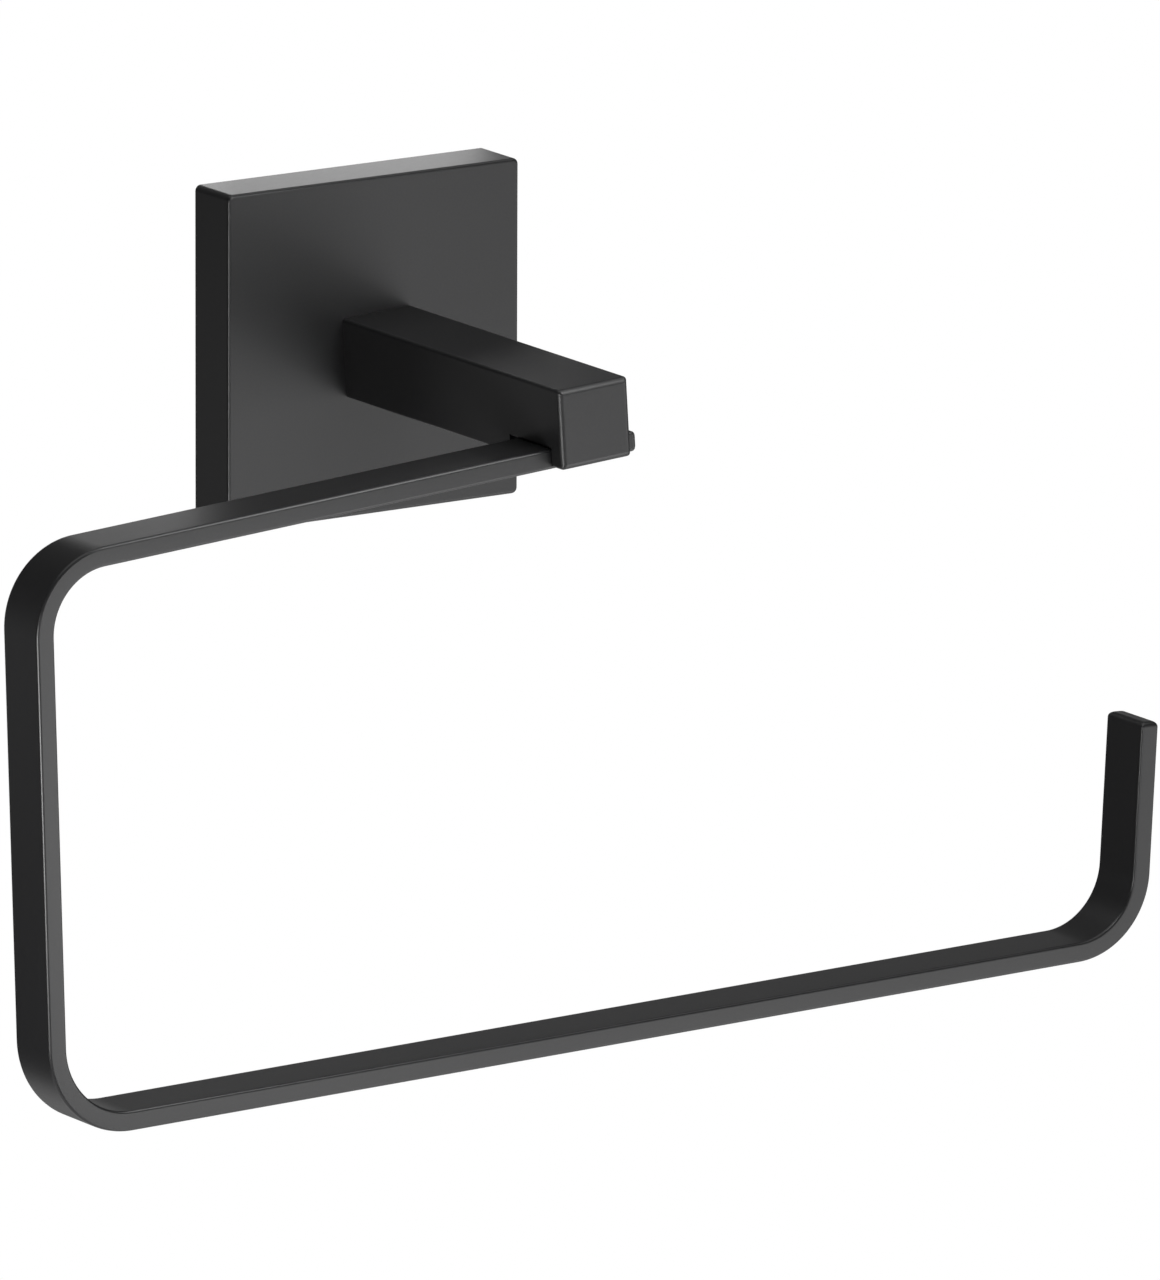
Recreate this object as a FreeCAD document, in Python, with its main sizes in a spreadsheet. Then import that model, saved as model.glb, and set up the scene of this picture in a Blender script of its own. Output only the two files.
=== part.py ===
import FreeCAD, Part
import math
import os
import Sketcher

# Towel ring: a square wall plate, a square post and a flat bar bent into an open ring.
# Millimetres. The wall is the plane Y = 0 and the ring stands out towards -Y. +X is to the
# right seen from the front, +Z is up, and the origin is the middle of the plate on the wall.

Vector = FreeCAD.Vector

# Two lengths in millimetres count as the same within this
TOLERANCE = 0.01

SIZES = {
    # Wall plate: a square casting, hollow at the back
    "plate_side": 50.8,
    "plate_depth": 9.1,
    "plate_front_wall": 3.0,
    "plate_side_wall": 2.6,
    "plate_corner_radius": 0.9,
    "plate_edge_radius": 0.5,
    "plate_inner_radius": 2.0,
    # Post: a square bar, fixed by one screw and so turned a little against the plate
    "post_width": 12.0,
    "post_height": 12.0,
    "post_length": 58.3,
    "post_edge_radius": 0.5,
    "post_front_radius": 0.9,
    "post_right_of_middle": 0.8,
    "post_below_middle": 0.95,
    "post_roll_angle": 3.8,
    # Notch across the underside of the post, where the bar lies
    "notch_front_wall": 3.0,
    "notch_side_gap": 0.15,
    "notch_back_room": 1.5,
    "notch_edge_chamfer": 0.3,
    # Ring: flat bar, measured along its centreline from crossing to crossing
    "bar_width": 9.3,
    "bar_thickness": 3.0,
    "bar_edge_radius": 0.45,
    "bar_end_radius": 0.7,
    "bar_below_post": 0.3,
    "ring_reach_left": 92.85,
    "ring_drop": 83.6,
    "ring_span": 188.9,
    "tip_rise": 33.5,
    "stub_past_post": 2.9,
    "top_left_angle": 88.0,
    "top_left_radius": 10.8,
    "bottom_left_angle": 89.1,
    "bottom_left_radius": 12.5,
    "bottom_right_angle": 86.0,
    "bottom_right_radius": 11.3,
    # Screw that holds the post from inside the plate
    "post_screw_diameter": 5.0,
    "post_screw_length": 14.0,
    "post_screw_head_diameter": 9.0,
    "post_screw_head_height": 2.6,
    "post_screw_key": 3.0,
    "post_screw_key_depth": 1.6,
    "washer_thickness": 1.2,
    "washer_diameter": 8.8,
    "washer_slit": 0.8,
    "washer_slit_angle": 20.0,
    # Countersunk screw that holds the ring
    "ring_screw_diameter": 3.0,
    "ring_screw_length": 8.5,
    "ring_screw_head_diameter": 5.8,
    "ring_screw_key": 2.0,
    "ring_screw_key_depth": 1.0,
    # Bracket folded from steel strip, with flanges that lean apart
    "strip_thickness": 1.6,
    "strip_width": 34.0,
    "strip_bend_radius": 1.8,
    "bracket_half_height": 18.6,
    "flange_length": 4.4,
    "flange_angle": 15.0,
    "wall_hole_diameter": 4.6,
    "wall_hole_spacing": 23.0,
    # Catch inside the plate's top wall, which hooks behind the upper flange
    "catch_width": 20.0,
    "catch_from_wall": 0.5,
    "catch_to": 3.5,
    "catch_gap": 0.15,
    # Grub screw up through the plate's underside, and the boss it runs in
    "grub_diameter": 4.0,
    "grub_from_wall": 3.2,
    "grub_recess": 0.3,
    "grub_key": 2.0,
    "grub_key_depth": 2.0,
    "grub_point_chamfer": 0.8,
    "grub_seat_gap": 0.02,
    "boss_width": 9.0,
    "boss_height": 1.4,
    # Clearances round the screws, on the radius
    "thread_gap": 0.05,
    "screw_gap": 0.2,
    "bore_end_gap": 1.0,
}

document = FreeCAD.newDocument("TowelRing")
sheet = document.addObject("Spreadsheet::Sheet", "Sizes")
for row, (alias, value) in enumerate(SIZES.items(), start=1):
    sheet.set(f"A{row}", alias)
    sheet.set(f"B{row}", str(value))
    sheet.setAlias(f"B{row}", alias)
document.recompute()


def amount(expression):
    """The present value of an expression in the sheet's sizes."""
    return float(sheet.evalExpression(expression))


def new_body(name):
    """An empty sub-part whose label is also the name of its file."""
    body = document.addObject("PartDesign::Body", name)
    body.Label = name
    return body


def new_sketch(body, name, role, height="0"):
    """A sketch on one of the body's own origin planes, raised along the plane's normal."""
    sketch = body.newObject("Sketcher::SketchObject", name)
    plane = next(item for item in body.Origin.OriginFeatures if item.Role == role)
    sketch.AttachmentSupport = [(plane, "")]
    sketch.MapMode = "FlatFace"
    sketch.AttachmentOffset = FreeCAD.Placement(Vector(0, 0, amount(height)), FreeCAD.Rotation())
    sketch.setExpression("AttachmentOffset.Base.z", height)
    return sketch


def set_size(sketch, constraint, expression):
    """Add a constraint and bind its value to an expression."""
    index = sketch.addConstraint(constraint)
    sketch.setExpression(f"Constraints[{index}]", expression)


def pin_point(sketch, geometry, position, x, y):
    """Hold one point of the geometry at x, y, both of them expressions."""
    for kind, axis, expression in (("DistanceX", -2, x), ("DistanceY", -1, y)):
        distance = amount(expression)
        if abs(distance) < TOLERANCE / 1000:
            sketch.addConstraint(Sketcher.Constraint("PointOnObject", geometry, position, axis))
        elif distance > 0:
            constraint = Sketcher.Constraint(kind, -1, 1, geometry, position, distance)
            set_size(sketch, constraint, expression)
        else:
            constraint = Sketcher.Constraint(kind, geometry, position, -1, 1, -distance)
            set_size(sketch, constraint, f"-({expression})")


def draw_outline(sketch, corners):
    """A closed outline of straight lines through corners given as pairs of expressions."""
    points = [Vector(amount(x), amount(y), 0) for x, y in corners]
    first = sketch.GeometryCount
    count = len(points)
    for index, point in enumerate(points):
        sketch.addGeometry(Part.LineSegment(point, points[(index + 1) % count]))
    for index in range(count):
        following = first + (index + 1) % count
        sketch.addConstraint(Sketcher.Constraint("Coincident", first + index, 2, following, 1))
    for index, (x, y) in enumerate(corners):
        pin_point(sketch, first + index, 1, x, y)


def draw_rectangle(sketch, left, right, bottom, top):
    """An upright rectangle between four expressions."""
    draw_outline(sketch, [(left, bottom), (right, bottom), (right, top), (left, top)])


def draw_circle(sketch, x, y, radius):
    """A circle with its centre and radius given as expressions."""
    centre = Vector(amount(x), amount(y), 0)
    circle = sketch.addGeometry(Part.Circle(centre, Vector(0, 0, 1), amount(radius)))
    pin_point(sketch, circle, 3, x, y)
    set_size(sketch, Sketcher.Constraint("Radius", circle, amount(radius)), radius)


def draw_hexagon(sketch, key):
    """A hexagon round the sketch's origin, as wide across its flats as the key."""
    corners = []
    for turn in range(6):
        reach = f"{key} / sqrt(3)"
        corners.append((f"{reach} * cos({60 * turn})", f"{reach} * sin({60 * turn})"))
    draw_outline(sketch, corners)


def draw_rounded_section(sketch, width, thickness, radius):
    """The section of a flat bar with rounded edges, centred on the sketch's origin."""
    half_width, half_height, corner = amount(width) / 2, amount(thickness) / 2, amount(radius)
    centre_x, centre_y = half_width - corner, half_height - corner
    signs = ((1, 1), (-1, 1), (-1, -1), (1, -1))
    arcs = []
    for quarter, (sign_x, sign_y) in enumerate(signs):
        centre = Vector(sign_x * centre_x, sign_y * centre_y, 0)
        start = quarter * math.pi / 2
        circle = Part.Circle(centre, Vector(0, 0, 1), corner)
        arcs.append(sketch.addGeometry(Part.ArcOfCircle(circle, start, start + math.pi / 2)))
    for quarter, (sign_x, sign_y) in enumerate(signs):
        arc, following = arcs[quarter], arcs[(quarter + 1) % 4]
        begin = sketch.getPoint(arc, 2)
        end = sketch.getPoint(following, 1)
        side = sketch.addGeometry(Part.LineSegment(begin, end))
        sketch.addConstraint(Sketcher.Constraint("Tangent", arc, 2, side, 1))
        sketch.addConstraint(Sketcher.Constraint("Tangent", side, 2, following, 1))
        x = f"{sign_x} * ({width} / 2 - {radius})"
        y = f"{sign_y} * ({thickness} / 2 - {radius})"
        pin_point(sketch, arc, 3, x, y)
    set_size(sketch, Sketcher.Constraint("Radius", arcs[0], corner), radius)


def draw_bent_path(sketch, start, heading, legs, bends):
    """Straight legs joined by tangent arcs, all bent the same way.

    start is a pair of expressions, heading is in degrees, and each leg is an expression measured
    to the point where it would cross the next one. Each bend is a pair of expressions, its angle
    and its radius.
    """
    point = Vector(amount(start[0]), amount(start[1]), 0)
    last_arc = None
    turned = "0"
    for index, leg in enumerate(legs):
        length = leg
        for bend_angle, bend_radius in bends[max(index - 1, 0):index + 1]:
            length += f" - {bend_radius} * tan({bend_angle} / 2)"
        angle = math.radians(heading + amount(turned))
        along = Vector(math.cos(angle), math.sin(angle), 0)
        end = point + along * amount(length)
        line = sketch.addGeometry(Part.LineSegment(point, end))
        set_size(sketch, Sketcher.Constraint("Distance", line, amount(length)), length)
        if last_arc is None:
            pin_point(sketch, line, 1, *start)
            flat = "Horizontal" if heading % 180 == 0 else "Vertical"
            sketch.addConstraint(Sketcher.Constraint(flat, line))
        else:
            sketch.addConstraint(Sketcher.Constraint("Tangent", last_arc, 2, line, 1))
            wrapped = math.remainder(angle, 2 * math.pi)
            whole_turns = round(math.degrees(angle - wrapped))
            direction = f"({heading} + {turned} - {whole_turns}) * 1 deg"
            set_size(sketch, Sketcher.Constraint("Angle", line, wrapped), direction)
        if index < len(bends):
            bend_angle, bend_radius = bends[index]
            sweep = math.radians(amount(bend_angle))
            radius = amount(bend_radius)
            centre = end + Vector(-along.y, along.x, 0) * radius
            begin = angle - math.pi / 2
            circle = Part.Circle(centre, Vector(0, 0, 1), radius)
            arc = sketch.addGeometry(Part.ArcOfCircle(circle, begin, begin + sweep))
            sketch.addConstraint(Sketcher.Constraint("Tangent", line, 2, arc, 1))
            set_size(sketch, Sketcher.Constraint("Radius", arc, radius), bend_radius)
            leave = begin + sweep
            point = centre + Vector(math.cos(leave), math.sin(leave), 0) * radius
            turned += f" + {bend_angle}"
            last_arc = arc


def recomputed(feature):
    """Work the document out again, so that the next feature can read this one."""
    document.recompute()
    return feature


def pad(body, name, sketch, length, both_ways=False):
    """Add the sketch's outline as a solid of that length."""
    feature = body.newObject("PartDesign::Pad", name)
    feature.Profile = sketch
    feature.Midplane = both_ways
    feature.setExpression("Length", length)
    return recomputed(feature)


def pocket(body, name, sketch, depth=None, along_normal=False, both_ways=False):
    """Cut the sketch's outline out of the body, through everything where no depth is given."""
    before = body.Shape.Volume
    feature = body.newObject("PartDesign::Pocket", name)
    feature.Profile = sketch
    feature.Reversed = along_normal
    feature.Midplane = both_ways
    if depth is None:
        feature.Type = "ThroughAll"
    else:
        feature.setExpression("Length", depth)
    document.recompute()
    if body.Shape.Volume > before - TOLERANCE:
        raise RuntimeError(f"{name} cuts nothing")
    return feature


def revolve(body, name, sketch, kind="PartDesign::Revolution"):
    """Turn the sketch's outline round its own vertical axis."""
    feature = body.newObject(kind, name)
    feature.Profile = sketch
    feature.ReferenceAxis = (sketch, ["V_Axis"])
    feature.Angle = 360
    return recomputed(feature)


def sweep(body, name, profile, path):
    """Carry the profile along the path."""
    feature = body.newObject("PartDesign::AdditivePipe", name)
    feature.Profile = profile
    feature.Spine = (path, [])
    return recomputed(feature)


def dress(body, name, kind, size, wanted):
    """Fillet or chamfer each edge of the body that the test wanted picks by its middle."""
    base = body.Tip
    names = []
    for index, edge in enumerate(base.Shape.Edges, start=1):
        if wanted(edge):
            names.append(f"Edge{index}")
    feature = body.newObject(f"PartDesign::{kind}", name)
    feature.Base = (base, names)
    feature.setExpression("Radius" if kind == "Fillet" else "Size", size)
    return recomputed(feature)


def middle_of(edge):
    """The point halfway along an edge."""
    return edge.valueAt((edge.FirstParameter + edge.LastParameter) / 2)


def near(a, b):
    """True where two lengths are the same."""
    return abs(a - b) < TOLERANCE


def place_on_post(body, y, z):
    """Stand a body in the post's own frame, which is turned with the post about its axis."""
    body.setExpression(
        "Placement",
        "placement("
        f"vector(Sizes.post_right_of_middle - ({z}) * sin(Sizes.post_roll_angle); {y};"
        f" -Sizes.post_below_middle + ({z}) * cos(Sizes.post_roll_angle));"
        " rotation(vector(0; -1; 0); Sizes.post_roll_angle))",
    )


# Places that several pieces share, as expressions in the sheet's sizes
POST_FRONT = "(Sizes.plate_depth + Sizes.post_length)"
BAR_MIDDLE_Y = f"(-{POST_FRONT} + Sizes.notch_front_wall + Sizes.notch_side_gap + Sizes.bar_width / 2)"
BAR_MIDDLE_Z = "(-Sizes.post_height / 2 - Sizes.bar_below_post + Sizes.bar_thickness / 2)"
BAR_BOTTOM_Z = "(-Sizes.post_height / 2 - Sizes.bar_below_post)"
CAVITY_DEPTH = "(Sizes.plate_depth - Sizes.plate_front_wall)"
CAVITY_HALF = "(Sizes.plate_side / 2 - Sizes.plate_side_wall)"
POST_SCREW_BORE = "(Sizes.post_screw_diameter / 2 + Sizes.thread_gap)"
RING_SCREW_BORE = "(Sizes.ring_screw_diameter / 2 + Sizes.thread_gap)"
GRUB_BORE = "(Sizes.grub_diameter / 2 + Sizes.thread_gap)"


def flange_face(from_wall):
    """Height above the middle of the upper flange's outer face, at a distance from the wall."""
    half = "Sizes.strip_thickness / 2"
    lean = "Sizes.flange_angle"
    rise = f"({from_wall} - {half}) * tan({lean}) + {half} / cos({lean})"
    return f"(Sizes.bracket_half_height + {rise})"


def make_wall_plate():
    """Square cover, hollow at the back, with a catch at the top and a boss at the bottom."""
    body = new_body("wall_plate")
    half = "Sizes.plate_side / 2"

    face = new_sketch(body, "plate_outline", "XZ_Plane")
    draw_rectangle(face, f"-{half}", half, f"-{half}", half)
    pad(body, "plate_block", face, "Sizes.plate_depth")
    depth = amount("Sizes.plate_depth")
    dress(body, "plate_corners", "Fillet", "Sizes.plate_corner_radius",
          lambda edge: near(middle_of(edge).y, -depth / 2))
    dress(body, "plate_front_edges", "Fillet", "Sizes.plate_edge_radius",
          lambda edge: near(edge.BoundBox.YMin, -depth) and near(edge.BoundBox.YMax, -depth))

    hollow = new_sketch(body, "hollow_outline", "XZ_Plane")
    draw_rectangle(hollow, f"-{CAVITY_HALF}", CAVITY_HALF, f"-{CAVITY_HALF}", CAVITY_HALF)
    pocket(body, "hollow", hollow, CAVITY_DEPTH, along_normal=True)
    cavity_half, cavity_depth = amount(CAVITY_HALF), amount(CAVITY_DEPTH)
    dress(body, "hollow_corners", "Fillet", "Sizes.plate_inner_radius",
          lambda edge: near(abs(middle_of(edge).x), cavity_half)
          and near(abs(middle_of(edge).z), cavity_half)
          and near(middle_of(edge).y, -cavity_depth / 2))

    # The catch is as long as the flange it hooks behind, and its lower face leans with it
    catch = new_sketch(body, "catch_section", "YZ_Plane")
    near_wall, far_side = "Sizes.catch_from_wall", "Sizes.catch_to"
    root = f"{CAVITY_HALF} + Sizes.plate_side_wall / 2"
    draw_outline(catch, [
        (f"-{near_wall}", f"{flange_face(near_wall)} + Sizes.catch_gap"),
        (f"-{near_wall}", root),
        (f"-{far_side}", root),
        (f"-{far_side}", f"{flange_face(far_side)} + Sizes.catch_gap"),
    ])
    pad(body, "catch", catch, "Sizes.catch_width", both_ways=True)

    # The boss gives the grub screw a longer thread than the bare wall would
    boss = new_sketch(body, "boss_section", "YZ_Plane")
    boss_top = f"-{CAVITY_HALF} + Sizes.boss_height"
    boss_root = f"-{CAVITY_HALF} - Sizes.plate_side_wall / 2"
    boss_deep = f"-{CAVITY_DEPTH} - Sizes.plate_front_wall / 2"
    draw_rectangle(boss, boss_deep, f"-{near_wall}", boss_root, boss_top)
    pad(body, "boss", boss, "Sizes.boss_width", both_ways=True)

    grub_hole = new_sketch(body, "grub_hole_outline", "XY_Plane")
    draw_circle(grub_hole, "0", "-Sizes.grub_from_wall", GRUB_BORE)
    pocket(body, "grub_hole", grub_hole)

    screw_hole = new_sketch(body, "screw_hole_outline", "XZ_Plane")
    draw_circle(screw_hole, "Sizes.post_right_of_middle", "-Sizes.post_below_middle",
                "Sizes.post_screw_diameter / 2 + Sizes.screw_gap")
    pocket(body, "screw_hole", screw_hole, along_normal=True)


def make_post():
    """Square bar with a notch across its underside and two blind bores."""
    body = new_body("post")
    place_on_post(body, "-Sizes.plate_depth", "0")
    half_width, half_height = "Sizes.post_width / 2", "Sizes.post_height / 2"

    section = new_sketch(body, "post_section", "XZ_Plane")
    draw_rectangle(section, f"-{half_width}", half_width, f"-{half_height}", half_height)
    pad(body, "post_bar", section, "Sizes.post_length")
    dress(body, "post_front_edges", "Fillet", "Sizes.post_front_radius", is_post_front_edge)

    notch = new_sketch(body, "notch_outline", "YZ_Plane")
    front = "-Sizes.post_length + Sizes.notch_front_wall"
    back = f"{front} + 2 * Sizes.notch_side_gap + Sizes.bar_width + Sizes.notch_back_room"
    ceiling = f"-{half_height} - Sizes.bar_below_post + Sizes.bar_thickness"
    draw_rectangle(notch, front, back, f"-{half_height} - Sizes.bar_thickness", ceiling)
    pocket(body, "notch", notch, both_ways=True)
    side, roof = amount(half_width), amount(ceiling)
    dress(body, "notch_mouths", "Chamfer", "Sizes.notch_edge_chamfer",
          lambda edge: near(abs(middle_of(edge).x), side) and near(middle_of(edge).z, roof))
    dress(body, "post_edges", "Fillet", "Sizes.post_edge_radius", is_long_post_edge)

    rear_bore = new_sketch(body, "rear_bore_outline", "XZ_Plane")
    draw_circle(rear_bore, "0", "0", POST_SCREW_BORE)
    reach = "Sizes.post_screw_length - Sizes.plate_front_wall - Sizes.washer_thickness"
    pocket(body, "rear_bore", rear_bore, f"{reach} + Sizes.bore_end_gap", along_normal=True)

    ring_bore = new_sketch(body, "ring_bore_outline", "XY_Plane", BAR_BOTTOM_Z)
    draw_circle(ring_bore, "0", f"{BAR_MIDDLE_Y} + Sizes.plate_depth", RING_SCREW_BORE)
    pocket(body, "ring_bore", ring_bore, "Sizes.ring_screw_length + Sizes.bore_end_gap",
           along_normal=True)


def is_post_front_edge(edge):
    """The four edges round the post's front face."""
    front = -amount("Sizes.post_length")
    return near(edge.BoundBox.YMin, front) and near(edge.BoundBox.YMax, front)


def is_long_post_edge(edge):
    """The post's long corner edges, in front of and behind the notch."""
    middle = middle_of(edge)
    side, height = amount("Sizes.post_width / 2"), amount("Sizes.post_height / 2")
    return near(abs(middle.x), side) and near(abs(middle.z), height) and edge.Length > TOLERANCE


def make_ring():
    """Flat bar carried along an open path with three bends, and drilled for its screw."""
    body = new_body("ring")
    place_on_post(body, BAR_MIDDLE_Y, BAR_MIDDLE_Z)
    start = "Sizes.post_width / 2 + Sizes.stub_past_post"

    path = new_sketch(body, "ring_path", "XZ_Plane")
    draw_bent_path(
        path, (start, "0"), 180,
        [f"{start} + Sizes.ring_reach_left", "Sizes.ring_drop", "Sizes.ring_span", "Sizes.tip_rise"],
        [("Sizes.top_left_angle", "Sizes.top_left_radius"),
         ("Sizes.bottom_left_angle", "Sizes.bottom_left_radius"),
         ("Sizes.bottom_right_angle", "Sizes.bottom_right_radius")],
    )
    section = new_sketch(body, "bar_section", "YZ_Plane", start)
    draw_rounded_section(section, "Sizes.bar_width", "Sizes.bar_thickness", "Sizes.bar_edge_radius")
    sweep(body, "bent_bar", section, path)
    ends = [face for face in body.Tip.Shape.Faces if len(face.Edges) == 8]
    rims = [edge.hashCode() for face in ends for edge in face.Edges]
    dress(body, "end_edges", "Fillet", "Sizes.bar_end_radius",
          lambda edge: edge.hashCode() in rims)

    # Countersink and clearance hole, as the outline of the screw with room round it
    hole = new_sketch(body, "countersink_section", "XZ_Plane")
    bottom, top = "-Sizes.bar_thickness / 2", "Sizes.bar_thickness / 2"
    shank = "(Sizes.ring_screw_diameter / 2 + Sizes.screw_gap)"
    mouth = "(Sizes.ring_screw_head_diameter / 2)"
    draw_outline(hole, [
        ("0", f"{bottom} - Sizes.bar_thickness"),
        (mouth, f"{bottom} - Sizes.bar_thickness"),
        (mouth, bottom),
        (shank, f"{bottom} + {mouth} - {shank}"),
        (shank, f"{top} + Sizes.bar_thickness"),
        ("0", f"{top} + Sizes.bar_thickness"),
    ])
    revolve(body, "countersink", hole, "PartDesign::Groove")


def cut_key_socket(body, role, height, key, depth):
    """Sink a hexagon socket into a screw's end, along the normal of the plane it lies on."""
    socket = new_sketch(body, "socket_outline", role, height)
    draw_hexagon(socket, key)
    pocket(body, "socket", socket, depth, along_normal=True)


def make_post_screw():
    """Pan head screw along Y, with its head inside the plate."""
    body = new_body("post_screw")
    place_on_post(body, f"-{CAVITY_DEPTH} + Sizes.washer_thickness", "0")
    section = new_sketch(body, "screw_section", "XY_Plane")
    shank = "Sizes.post_screw_diameter / 2"
    head = "Sizes.post_screw_head_diameter / 2"
    crown = "Sizes.post_screw_head_height"
    draw_outline(section, [
        ("0", "-Sizes.post_screw_length"),
        (f"{shank} - Sizes.screw_gap", "-Sizes.post_screw_length"),
        (shank, "-Sizes.post_screw_length + Sizes.screw_gap"),
        (shank, "0"),
        (head, "0"),
        (head, f"{crown} / 2"),
        (f"{head} - {crown} / 2", crown),
        ("0", crown),
    ])
    revolve(body, "screw", section)
    cut_key_socket(body, "XZ_Plane", f"-{crown}", "Sizes.post_screw_key", "Sizes.post_screw_key_depth")


def make_lock_washer():
    """Split ring, closed by the screw, with a slit cut aslant through it."""
    body = new_body("lock_washer")
    place_on_post(body, f"-{CAVITY_DEPTH}", "0")
    ring = new_sketch(body, "washer_outline", "XZ_Plane")
    inner = "Sizes.post_screw_diameter / 2 + Sizes.thread_gap"
    draw_circle(ring, "0", "0", "Sizes.washer_diameter / 2")
    draw_circle(ring, "0", "0", inner)
    feature = pad(body, "washer", ring, "Sizes.washer_thickness")
    feature.Reversed = True
    document.recompute()

    slit = new_sketch(body, "slit_outline", "YZ_Plane")
    slant = "Sizes.washer_thickness * tan(Sizes.washer_slit_angle) / 2"
    half = "Sizes.washer_slit / 2"
    thick = "Sizes.washer_thickness"
    draw_outline(slit, [
        ("0", f"-{half} - {slant}"),
        ("0", f"{half} - {slant}"),
        (thick, f"{half} + {slant}"),
        (thick, f"-{half} + {slant}"),
    ])
    pocket(body, "slit", slit, along_normal=True)


def make_ring_screw():
    """Countersunk screw along Z, flush with the underside of the bar."""
    body = new_body("ring_screw")
    place_on_post(body, BAR_MIDDLE_Y, BAR_BOTTOM_Z)
    section = new_sketch(body, "screw_section", "XZ_Plane")
    shank = "Sizes.ring_screw_diameter / 2"
    head = "Sizes.ring_screw_head_diameter / 2 - Sizes.thread_gap"
    draw_outline(section, [
        ("0", "0"),
        (head, "0"),
        (shank, f"{head} - {shank}"),
        (shank, "Sizes.ring_screw_length - Sizes.screw_gap"),
        (f"{shank} - Sizes.screw_gap", "Sizes.ring_screw_length"),
        ("0", "Sizes.ring_screw_length"),
    ])
    revolve(body, "screw", section)
    cut_key_socket(body, "XY_Plane", "0", "Sizes.ring_screw_key", "Sizes.ring_screw_key_depth")


def make_wall_bracket():
    """Steel strip folded at the top and the bottom, with a hole each side for the wall screws."""
    body = new_body("wall_bracket")
    half = "Sizes.strip_thickness / 2"
    path = new_sketch(body, "strip_path", "YZ_Plane")
    draw_bent_path(
        path, (f"-{half}", "0"), 90,
        ["Sizes.bracket_half_height", "Sizes.flange_length"],
        [("(90 - Sizes.flange_angle)", "Sizes.strip_bend_radius")],
    )
    section = new_sketch(body, "strip_section", "XY_Plane")
    across, thick = "Sizes.strip_width / 2", "Sizes.strip_thickness"
    draw_rectangle(section, f"-{across}", across, f"-{thick}", "0")
    sweep(body, "upper_half", section, path)

    mirror = body.newObject("PartDesign::Mirrored", "both_halves")
    mirror.Originals = [body.getObject("upper_half")]
    plane = next(item for item in body.Origin.OriginFeatures if item.Role == "XY_Plane")
    mirror.MirrorPlane = (plane, [""])
    body.Tip = mirror
    document.recompute()

    holes = new_sketch(body, "wall_hole_outlines", "XZ_Plane")
    for side in ("", "-"):
        draw_circle(holes, f"{side}Sizes.wall_hole_spacing / 2", "0", "Sizes.wall_hole_diameter / 2")
    pocket(body, "wall_holes", holes, both_ways=True)


def make_grub_screw():
    """Socket set screw along Z, from the plate's underside up against the lower flange."""
    body = new_body("grub_screw")
    foot = "(-Sizes.plate_side / 2 + Sizes.grub_recess)"
    body.setExpression("Placement", f"placement(vector(0; -Sizes.grub_from_wall; {foot});"
                       " rotation(vector(0; 0; 1); 0))")
    point = "(Sizes.grub_diameter / 2 - Sizes.grub_point_chamfer)"
    touch = flange_face(f"(Sizes.grub_from_wall + {point})")
    length = f"(-{touch} - Sizes.grub_seat_gap - {foot})"
    section = new_sketch(body, "screw_section", "XZ_Plane")
    draw_outline(section, [
        ("0", "0"),
        ("Sizes.grub_diameter / 2", "0"),
        ("Sizes.grub_diameter / 2", f"{length} - Sizes.grub_point_chamfer"),
        (point, length),
        ("0", length),
    ])
    revolve(body, "screw", section)
    cut_key_socket(body, "XY_Plane", "0", "Sizes.grub_key", "Sizes.grub_key_depth")


make_wall_plate()
make_post()
make_ring()
make_post_screw()
make_lock_washer()
make_ring_screw()
make_wall_bracket()
make_grub_screw()
document.recompute()

for item in document.Objects:
    if "Invalid" in item.State or "Error" in item.State:
        raise RuntimeError(f"{item.Label} could not be worked out: {item.State}")

os.makedirs("parts", exist_ok=True)
for body in document.findObjects("PartDesign::Body"):
    shape = body.Shape
    if shape.isNull() or not shape.isValid():
        raise RuntimeError(f"{body.Label} has no sound shape")
    print(body.Label, "solids", len(shape.Solids), "volume", round(shape.Volume, 1))
    shape.exportStep(f"parts/{body.Label}.step")
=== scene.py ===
import math

import bmesh
import bpy
from bpy.props import FloatProperty, FloatVectorProperty, PointerProperty
from mathutils import Matrix, Vector


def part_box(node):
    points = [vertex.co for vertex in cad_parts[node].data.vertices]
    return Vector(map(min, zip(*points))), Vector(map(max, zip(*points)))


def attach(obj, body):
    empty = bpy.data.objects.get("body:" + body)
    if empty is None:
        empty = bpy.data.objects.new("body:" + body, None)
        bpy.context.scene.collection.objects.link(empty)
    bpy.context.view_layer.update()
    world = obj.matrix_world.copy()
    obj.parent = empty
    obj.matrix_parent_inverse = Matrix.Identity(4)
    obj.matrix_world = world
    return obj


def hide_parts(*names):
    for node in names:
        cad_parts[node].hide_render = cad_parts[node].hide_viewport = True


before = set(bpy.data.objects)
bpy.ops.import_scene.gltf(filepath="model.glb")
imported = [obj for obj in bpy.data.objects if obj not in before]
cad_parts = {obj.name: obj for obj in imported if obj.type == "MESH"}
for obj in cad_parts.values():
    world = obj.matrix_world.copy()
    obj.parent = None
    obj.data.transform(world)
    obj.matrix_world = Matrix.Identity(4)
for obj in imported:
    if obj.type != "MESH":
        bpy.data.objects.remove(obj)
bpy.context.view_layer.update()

# Towel ring: square wall plate, square post and a flat bar bent into an open ring.
# Metres. The wall is the plane Y = 0, the ring stands out towards -Y, and +Z is up.

bl_info = {
    "name": "Towel ring",
    "version": (1, 0, 0),
    "blender": (4, 5, 0),
    "location": "View3D > Sidebar > Towel ring",
    "description": "Finishes a wall-mounted towel ring and sets up the studio round it",
    "category": "Add Mesh",
}

MM = 0.001
QUARTER_TURN = math.radians(90)
WHITE = (1, 1, 1, 1)
SUM = "ShaderNodeMath"          # the node that does one step of arithmetic

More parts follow.
